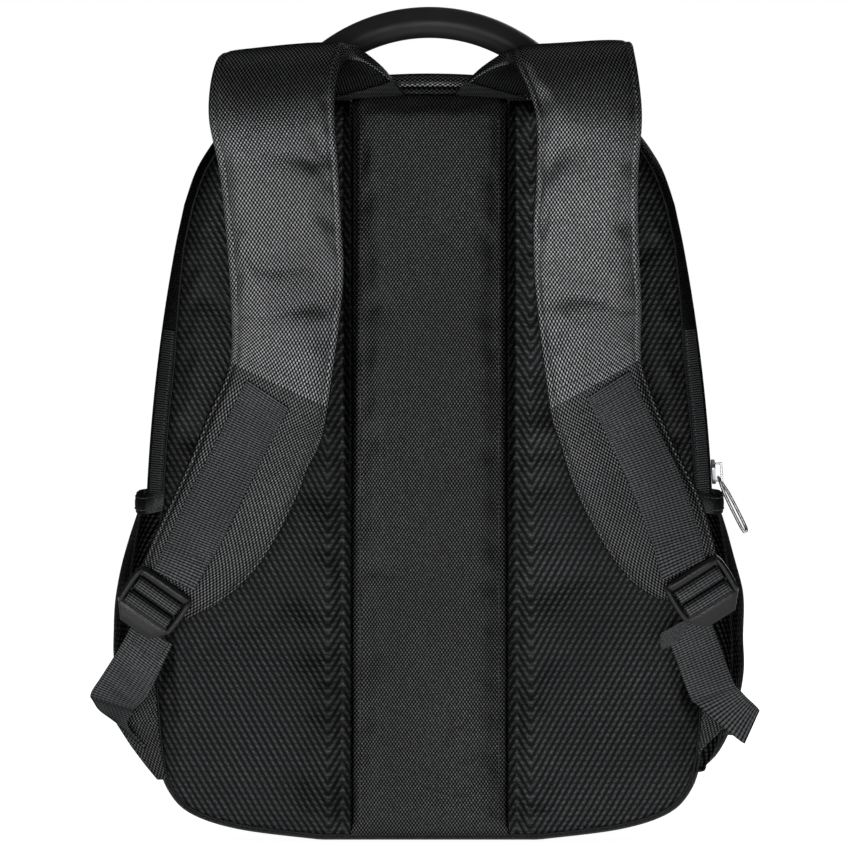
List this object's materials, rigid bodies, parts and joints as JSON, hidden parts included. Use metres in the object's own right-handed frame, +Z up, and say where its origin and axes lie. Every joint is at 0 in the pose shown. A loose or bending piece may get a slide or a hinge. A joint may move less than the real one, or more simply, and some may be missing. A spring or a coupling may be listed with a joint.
{
  "type": "school backpack",
  "caption": "Soft school backpack with padded shoulder straps, ladder-lock buckles, mesh back pads, mesh side pockets, front pockets and a curved carry handle.",
  "frame": {"origin": "on the floor under the middle of the bag's box", "axes": "+Z up, -Y the wearer's side with the straps, +X to the right seen from that side"},
  "size_m": [0.4013, 0.2532, 0.503],
  "materials": {
    "woven_fabric": "coarse black polyester weave",
    "spacer_mesh": "padded black spacer mesh",
    "pocket_mesh": "black knitted pocket mesh",
    "webbing": "ribbed black polypropylene webbing",
    "binding": "smooth black binding tape",
    "zip_tape": "fine ribbed black zip tape",
    "lining": "plain dark grey lining",
    "foam": "closed-cell foam",
    "moulded_grip": "smooth satin black grip",
    "black_plastic": "glossy black acetal",
    "chrome_metal": "polished nickel plate"
  },
  "bodies": {
    "bag": {"back_panel": "woven_fabric", "back_pad_centre": "woven_fabric", "back_pad_left": "spacer_mesh", "back_pad_right": "spacer_mesh", "rear_band": "woven_fabric", "main_zip_rear_tape": "zip_tape", "side_panel_left": "woven_fabric", "side_panel_right": "woven_fabric", "base_panel": "woven_fabric", "base_pad": "foam", "front_panel": "woven_fabric", "front_pocket": "woven_fabric", "front_zip_tape": "zip_tape", "laptop_divider": "lining", "side_pocket_left": "pocket_mesh", "side_pocket_right": "pocket_mesh", "pocket_hem_left": "binding", "pocket_hem_right": "binding", "anchor_tab_left": "woven_fabric", "anchor_tab_right": "woven_fabric", "handle_tab_left": "webbing", "handle_tab_right": "webbing", "root_binding": "binding"},
    "flap": {"flap_panel": "woven_fabric", "flap_band": "woven_fabric", "main_zip_front_tape": "zip_tape", "upper_pocket": "woven_fabric", "upper_zip_tape": "zip_tape"},
    "handle": {"handle_grip": "moulded_grip"},
    "strap_left": {"strap_cover_left": "woven_fabric", "strap_foam_left": "foam", "strap_lining_left": "spacer_mesh", "strap_webbing_left": "webbing", "adjuster_left": "webbing"},
    "strap_right": {"strap_cover_right": "woven_fabric", "strap_foam_right": "foam", "strap_lining_right": "spacer_mesh", "strap_webbing_right": "webbing", "adjuster_right": "webbing"},
    "buckle_left": {"ladder_lock_left": "black_plastic", "webbing_turn_left": "webbing", "webbing_tail_left": "webbing"},
    "buckle_right": {"ladder_lock_right": "black_plastic", "webbing_turn_right": "webbing", "webbing_tail_right": "webbing"},
    "main_slider": {"main_slider": "chrome_metal"},
    "main_pull": {"main_pull": "chrome_metal"},
    "front_slider": {"front_slider": "chrome_metal"},
    "front_pull": {"front_pull": "chrome_metal"},
    "upper_slider": {"upper_slider": "chrome_metal"},
    "upper_pull": {"upper_pull": "chrome_metal"}
  },
  "joints": [
    {"name": "flap_open", "type": "hinge", "parent": "bag", "child": "flap", "pos_m": [0, 0.085, 0.205], "axis": [-1, 0, 0], "range_deg": [0, 65]},
    {"name": "handle_fold", "type": "hinge", "parent": "bag", "child": "handle", "pos_m": [0, -0.062, 0.468], "axis": [1, 0, 0], "range_deg": [-60, 20], "stiffness_Nm_per_rad": 0.6},
    {"name": "strap_swing_left", "type": "hinge", "parent": "bag", "child": "strap_left", "pos_m": [-0.047, -0.084, 0.45], "axis": [-1, 0, 0], "range_deg": [0, 9], "deforming": ["adjuster_left"]},
    {"name": "strap_swing_right", "type": "hinge", "parent": "bag", "child": "strap_right", "pos_m": [0.047, -0.084, 0.45], "axis": [-1, 0, 0], "range_deg": [0, 9], "deforming": ["adjuster_right"]},
    {"name": "buckle_tilt_left", "type": "hinge", "parent": "strap_left", "child": "buckle_left", "pos_m": [-0.158, -0.1093, 0.156], "axis": [-0.8192, 0, 0.5736], "range_deg": [0, 25]},
    {"name": "buckle_tilt_right", "type": "hinge", "parent": "strap_right", "child": "buckle_right", "pos_m": [0.157, -0.1093, 0.163], "axis": [-0.848, 0, -0.5299], "range_deg": [0, 25]},
    {"name": "main_zip_travel", "type": "hinge", "parent": "bag", "child": "main_slider", "pos_m": [-0.92795, -0.052, 0.15702], "axis": [0, -1, 0], "range_deg": [0, 6.4]},
    {"name": "main_pull_swing", "type": "hinge", "parent": "main_slider", "child": "main_pull", "pos_m": [0.17461, -0.052, 0.21912], "axis": [0, -1, 0], "range_deg": [0, 100]},
    {"name": "front_zip_travel", "type": "slide", "parent": "bag", "child": "front_slider", "axis": [1, 0, 0], "range_m": [0, 0.19]},
    {"name": "front_pull_swing", "type": "hinge", "parent": "front_slider", "child": "front_pull", "pos_m": [-0.0916, 0.11252, 0.17031], "axis": [0, -0.5914, 0.8064], "range_deg": [0, 110]},
    {"name": "upper_zip_travel", "type": "slide", "parent": "flap", "child": "upper_slider", "axis": [1, 0, 0], "range_m": [0, 0.144]},
    {"name": "upper_pull_swing", "type": "hinge", "parent": "upper_slider", "child": "upper_pull", "pos_m": [-0.0686, 0.1007, 0.35204], "axis": [0, -0.5433, 0.8396], "range_deg": [0, 110]}
  ]
}
